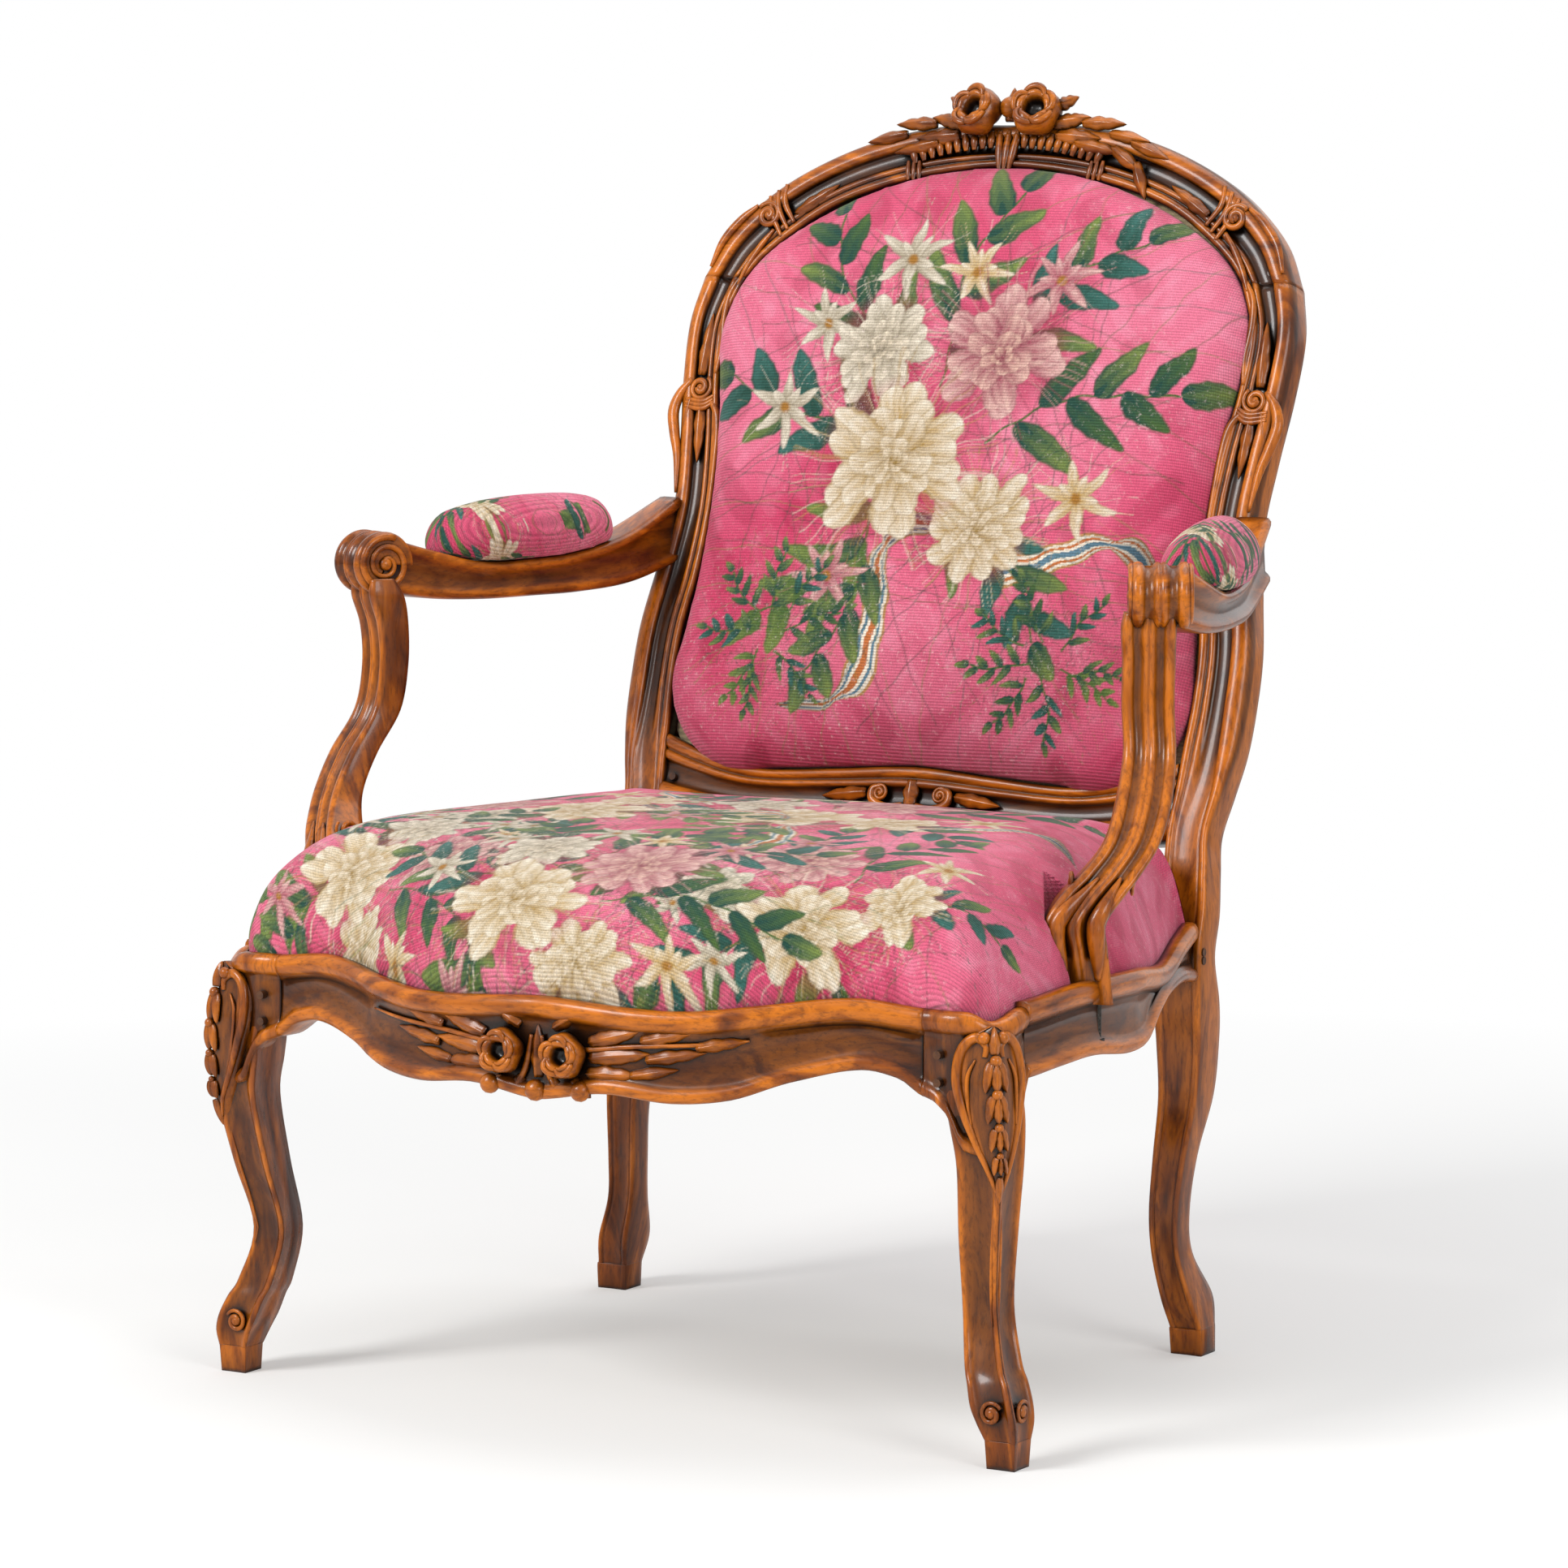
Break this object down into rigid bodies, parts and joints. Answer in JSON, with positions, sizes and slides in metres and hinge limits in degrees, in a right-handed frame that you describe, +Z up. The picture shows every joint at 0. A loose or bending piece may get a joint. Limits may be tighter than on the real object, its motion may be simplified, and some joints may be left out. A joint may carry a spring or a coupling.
{
  "type": "upholstered open armchair",
  "caption": "Low open armchair in carved, moulded wood with cabriole legs, a raked cartouche-shaped padded back, domed padded seat and padded arms.",
  "frame": {"origin": "middle of the chair's bounding box, on the floor", "axes": "+X to the sitter's left, the chair faces -Y, +Z up"},
  "size_m": [0.743, 0.7397, 0.9584],
  "materials": {
    "walnut": "waxed and polished",
    "pegs": "end grain, waxed",
    "iron": "blackened iron",
    "webbing": "jute, plain",
    "base_cloth": "linen, plain",
    "stuffing": "horsehair in linen",
    "tapestry": "wool tapestry, ribbed weave",
    "outside_back": "plain ribbed wool"
  },
  "bodies": {
    "root": {"front_leg_left": "walnut", "front_leg_right": "walnut", "front_rail": "walnut", "side_rail_left": "walnut", "side_rail_right": "walnut", "rear_rail": "walnut", "rear_post_left": "walnut", "rear_post_right": "walnut", "crest_rail": "walnut", "back_bottom_rail": "walnut", "arm_left": "walnut", "arm_right": "walnut", "arm_support_left": "walnut", "arm_support_right": "walnut", "seat_rail_pegs": "pegs", "back_frame_pegs": "pegs", "arm_pegs": "pegs", "arm_support_screws": "iron", "seat_webbing_tacks": "iron", "back_webbing_tacks": "iron", "seat_webbing_lengthwise": "webbing", "seat_webbing_crosswise": "webbing", "back_webbing_across": "webbing", "back_webbing_upward": "webbing", "seat_base_cloth": "base_cloth", "back_base_cloth": "base_cloth", "seat_stuffing": "stuffing", "back_stuffing": "stuffing", "arm_pad_stuffing_left": "stuffing", "arm_pad_stuffing_right": "stuffing", "seat_cover": "tapestry", "back_cover": "tapestry", "arm_pad_cover_left": "tapestry", "arm_pad_cover_right": "tapestry", "outside_back_cover": "outside_back"}
  },
  "joints": []
}
